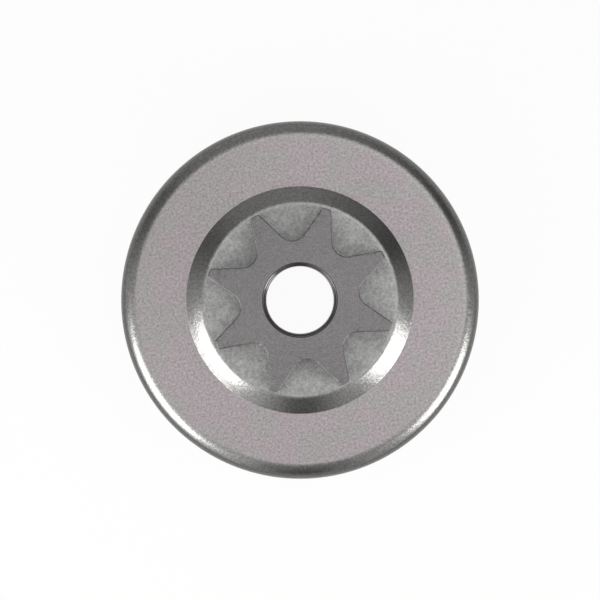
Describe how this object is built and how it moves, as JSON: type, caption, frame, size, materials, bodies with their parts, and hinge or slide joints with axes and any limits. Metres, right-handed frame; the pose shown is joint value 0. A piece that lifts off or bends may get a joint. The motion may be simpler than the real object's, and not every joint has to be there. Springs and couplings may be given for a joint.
{
  "type": "chainsaw clutch drum",
  "caption": "Pressed steel clutch drum for a chainsaw, with a star-shaped spur sprocket brazed on the boss of its closed end and a plain bore for a needle cage.",
  "frame": {"origin": "on the drum's axis, in the plane of the open rim", "axes": "+Z along the axis from the open rim to the sprocket; +X through the middle of a gullet; the drive notch is on the -Y side"},
  "size_m": [0.0754, 0.0754, 0.0333],
  "materials": {
    "pressed_steel": "fine satin grain on the faces, smoother on the rounded edges",
    "sprocket_steel": "ground face with fine turning lines"
  },
  "bodies": {
    "root": {"drum_cup": "pressed_steel", "star_sprocket": "sprocket_steel"}
  },
  "joints": []
}
